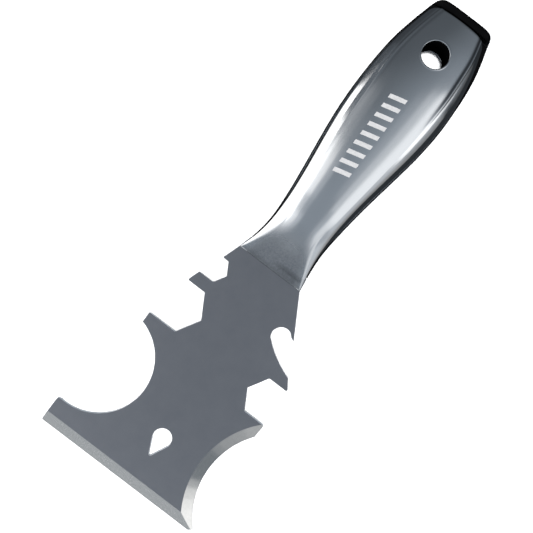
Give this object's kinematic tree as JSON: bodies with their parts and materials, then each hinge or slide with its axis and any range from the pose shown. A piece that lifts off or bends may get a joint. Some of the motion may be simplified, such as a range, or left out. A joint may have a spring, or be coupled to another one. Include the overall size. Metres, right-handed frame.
{
  "type": "painters multi tool",
  "caption": "Painter's multi tool: flat steel scraper blade with roller-cleaning arc, wrench notches, opener hook and nail puller, on a polished steel handle with a hanging hole.",
  "frame": {"origin": "centre of the tool's bounding box, on the middle plane of the blade", "axes": "+Y from the scraper edge towards the butt of the handle, +Z out of the front face, +X towards the side with the opener hook"},
  "size_m": [0.07, 0.2144, 0.0196],
  "materials": {
    "blade_steel": "satin",
    "polished_steel": "polished",
    "black_nylon": "satin",
    "rivet_steel": "plain"
  },
  "bodies": {
    "root": {"blade": "blade_steel", "front_shell": "polished_steel", "back_shell": "polished_steel", "front_core": "black_nylon", "back_core": "black_nylon", "butt_cap": "black_nylon", "hang_hole_bush": "black_nylon", "tang_rivet_1": "rivet_steel", "tang_rivet_2": "rivet_steel", "tang_rivet_3": "rivet_steel"}
  },
  "joints": []
}
